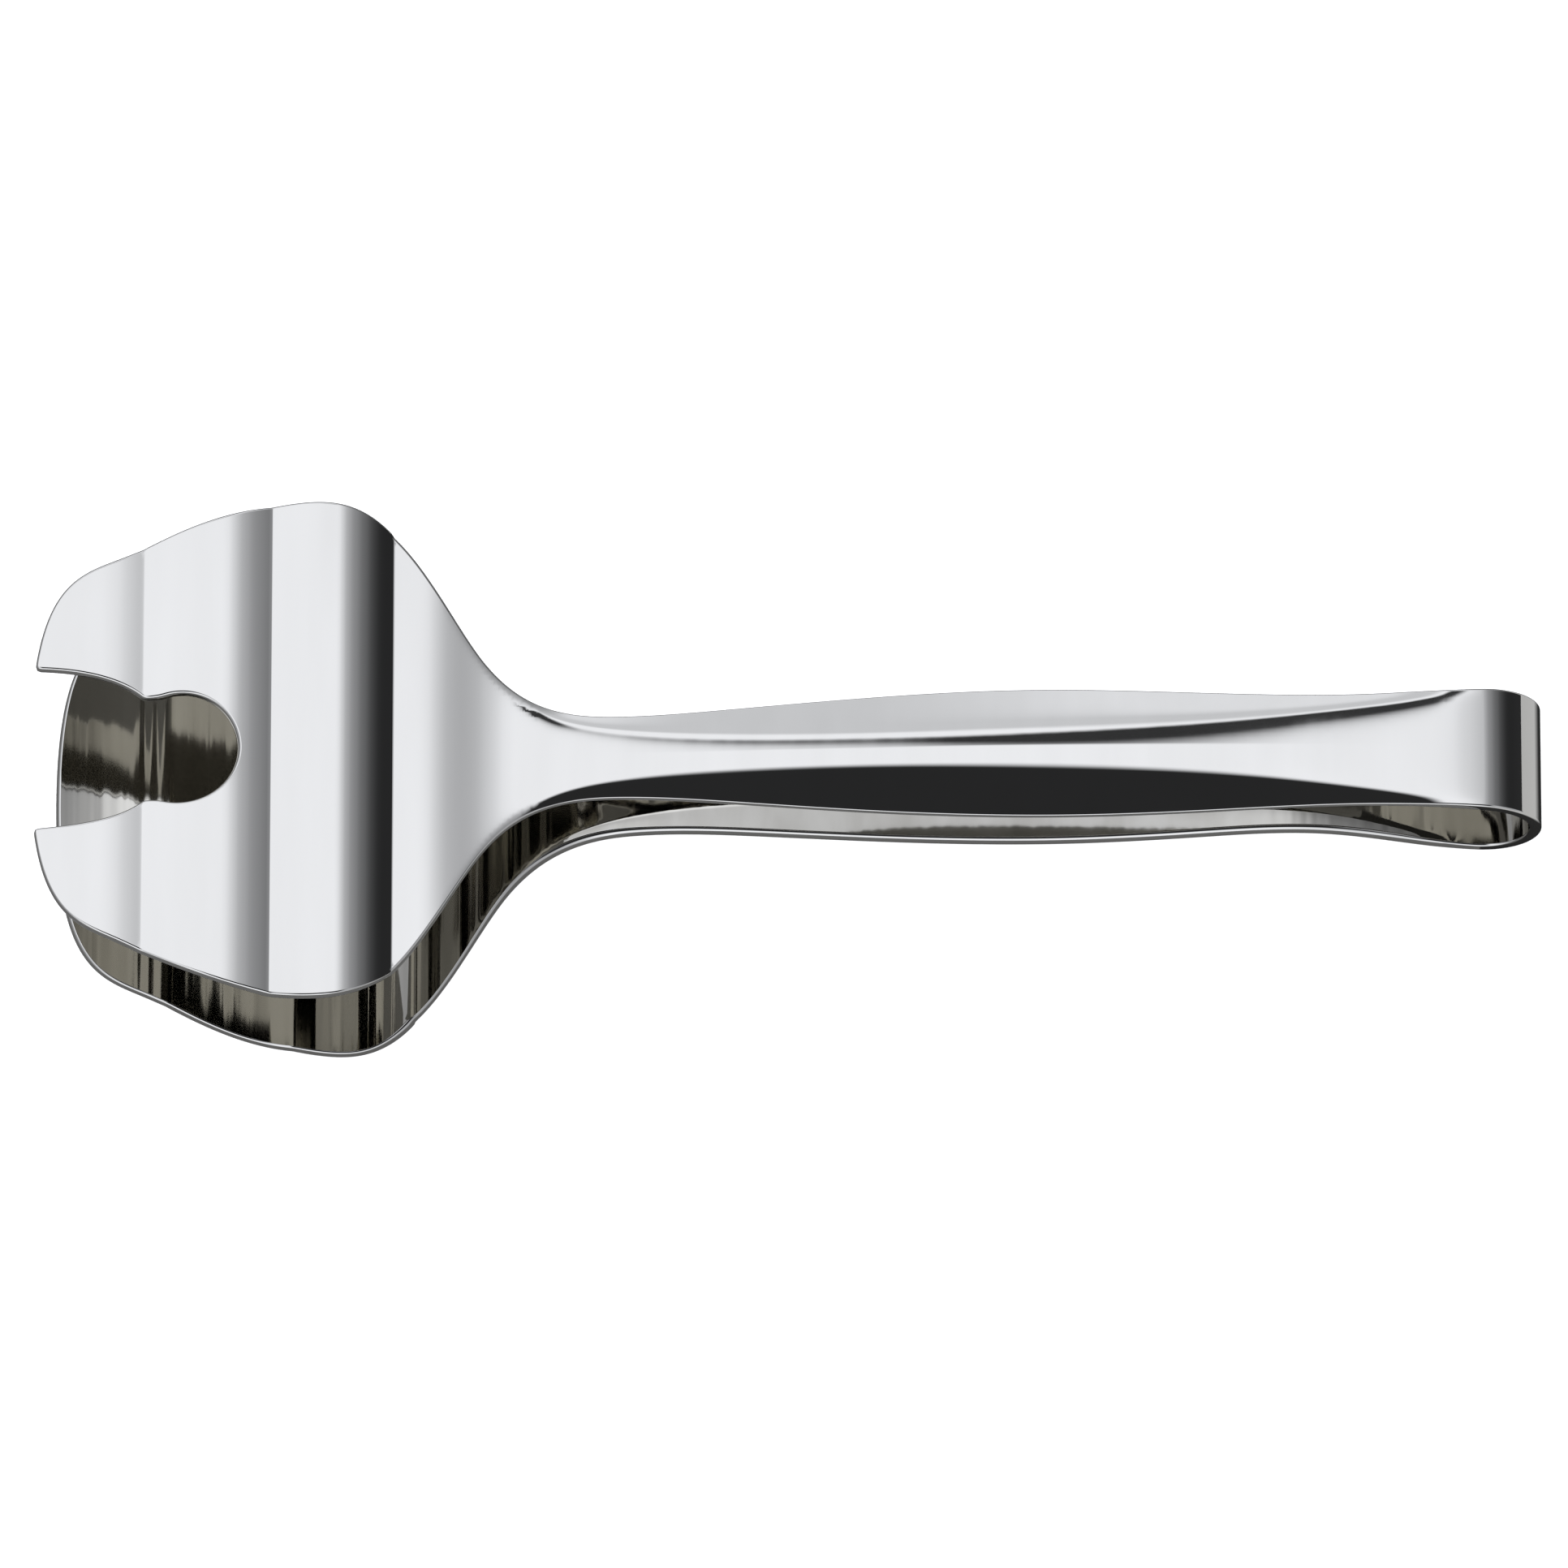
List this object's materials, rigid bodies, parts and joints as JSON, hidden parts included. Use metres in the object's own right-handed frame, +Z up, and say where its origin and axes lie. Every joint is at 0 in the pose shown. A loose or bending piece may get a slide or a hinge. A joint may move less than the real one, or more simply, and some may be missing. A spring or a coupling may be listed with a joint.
{
  "type": "serving tongs",
  "caption": "Polished steel serving tongs bent from one strip: a notched fork blade over a plain spoon blade, channelled handles and a sprung U bend.",
  "frame": {"origin": "on the table, under the middle of the tongs' bounding box, as the tongs stand on the underside of the bend and the belly of the spoon blade", "axes": "+X along the tongs towards the sprung bend, +Z up with the fork arm on top, +Y across the blades"},
  "size_m": [0.2186, 0.0766, 0.0297],
  "materials": {
    "polished_steel": "mirror polished 18/10 stainless steel, 1.8 mm sheet with rounded edges"
  },
  "bodies": {
    "spoon_arm": {"spoon_blade": "polished_steel", "spoon_neck": "polished_steel", "spoon_handle": "polished_steel", "spring_bend": "polished_steel"},
    "fork_arm": {"fork_blade": "polished_steel", "fork_neck": "polished_steel", "fork_handle": "polished_steel"}
  },
  "joints": [
    {"name": "squeeze", "type": "hinge", "parent": "spoon_arm", "child": "fork_arm", "pos_m": [0.09987, 0, 0.0094], "axis": [0, -1, 0], "range_deg": [0, 5.5], "stiffness_Nm_per_rad": 8, "deforming": ["spring_bend"]}
  ]
}
